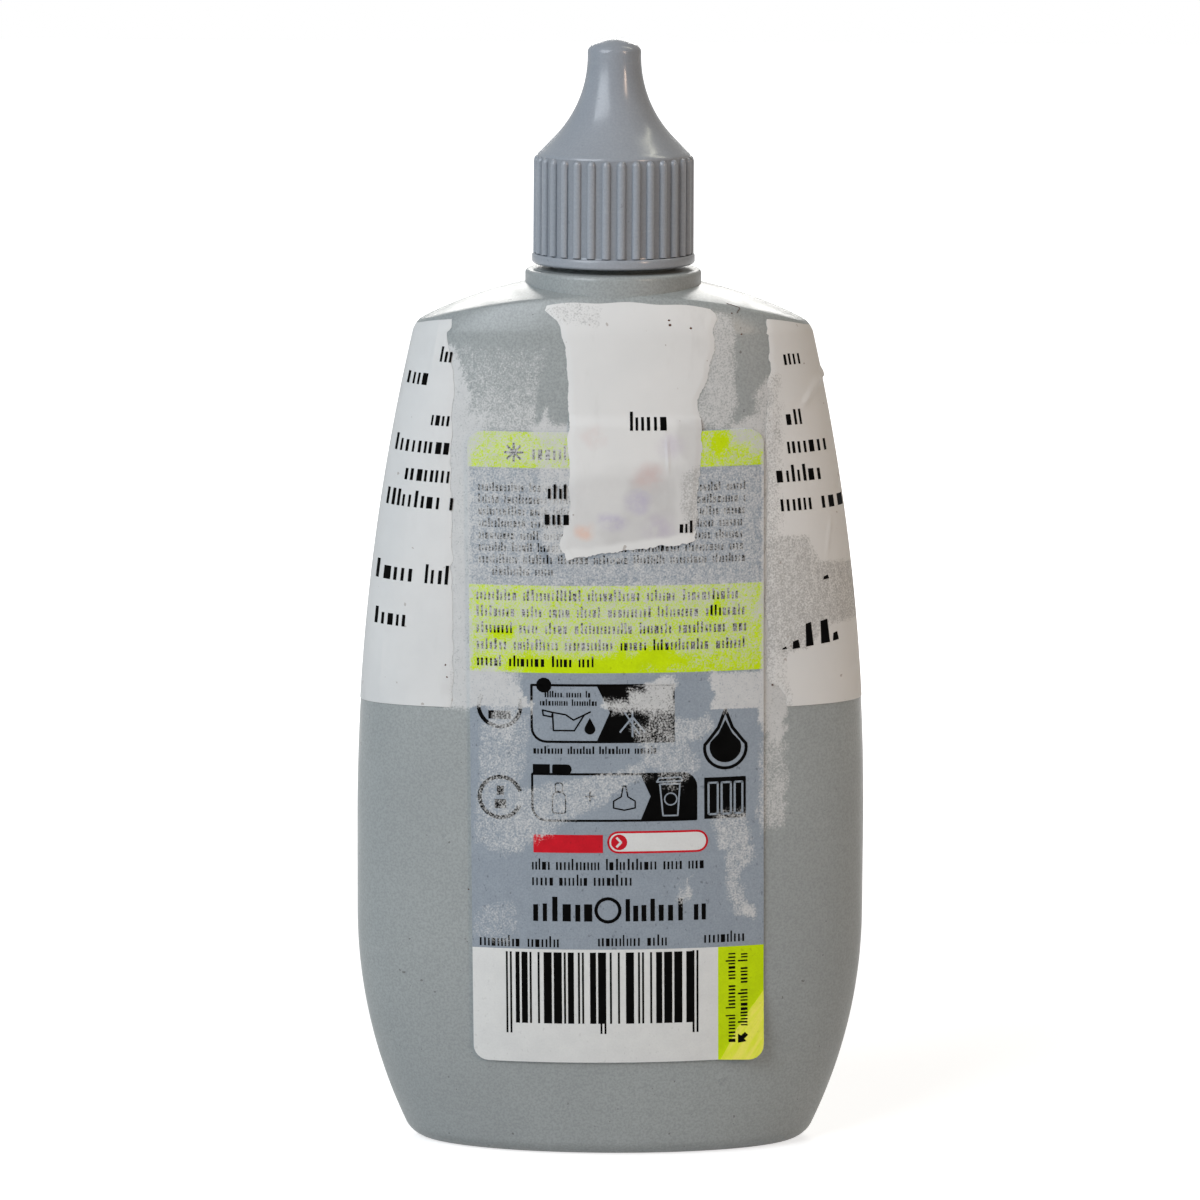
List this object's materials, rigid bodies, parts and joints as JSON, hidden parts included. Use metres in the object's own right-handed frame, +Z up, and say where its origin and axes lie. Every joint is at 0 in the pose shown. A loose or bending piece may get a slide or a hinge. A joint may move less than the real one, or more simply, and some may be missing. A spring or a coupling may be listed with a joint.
{
  "type": "chain lube bottle",
  "caption": "Oval blow-moulded squeeze bottle with a pressed-in dropper nozzle, a ribbed screw cap with a long nose, a back label and a torn paper over-label.",
  "frame": {"origin": "middle of the base, on the surface that the bottle stands on", "axes": "+Z up along the bottle, X across its width, the labelled side facing -Y"},
  "size_m": [0.0674, 0.0274, 0.1472],
  "materials": {
    "bottle": "satin blown polyethylene with a fine grain",
    "insert": "natural white polyethylene, satin",
    "cap": "moulded polypropylene, semi-gloss",
    "label": "printed film label, satin",
    "overlabel": "white paper, torn"
  },
  "bodies": {
    "bottle": {"bottle": "bottle", "dropper_insert": "insert", "back_label": "label", "overlabel_left": "overlabel", "overlabel_right": "overlabel", "overlabel_centre": "overlabel"},
    "cap": {"screw_cap": "cap"}
  },
  "joints": [
    {"name": "cap_lift", "type": "slide", "parent": "bottle", "child": "cap", "axis": [0, 0, 1], "range_m": [0, 0.03]}
  ]
}
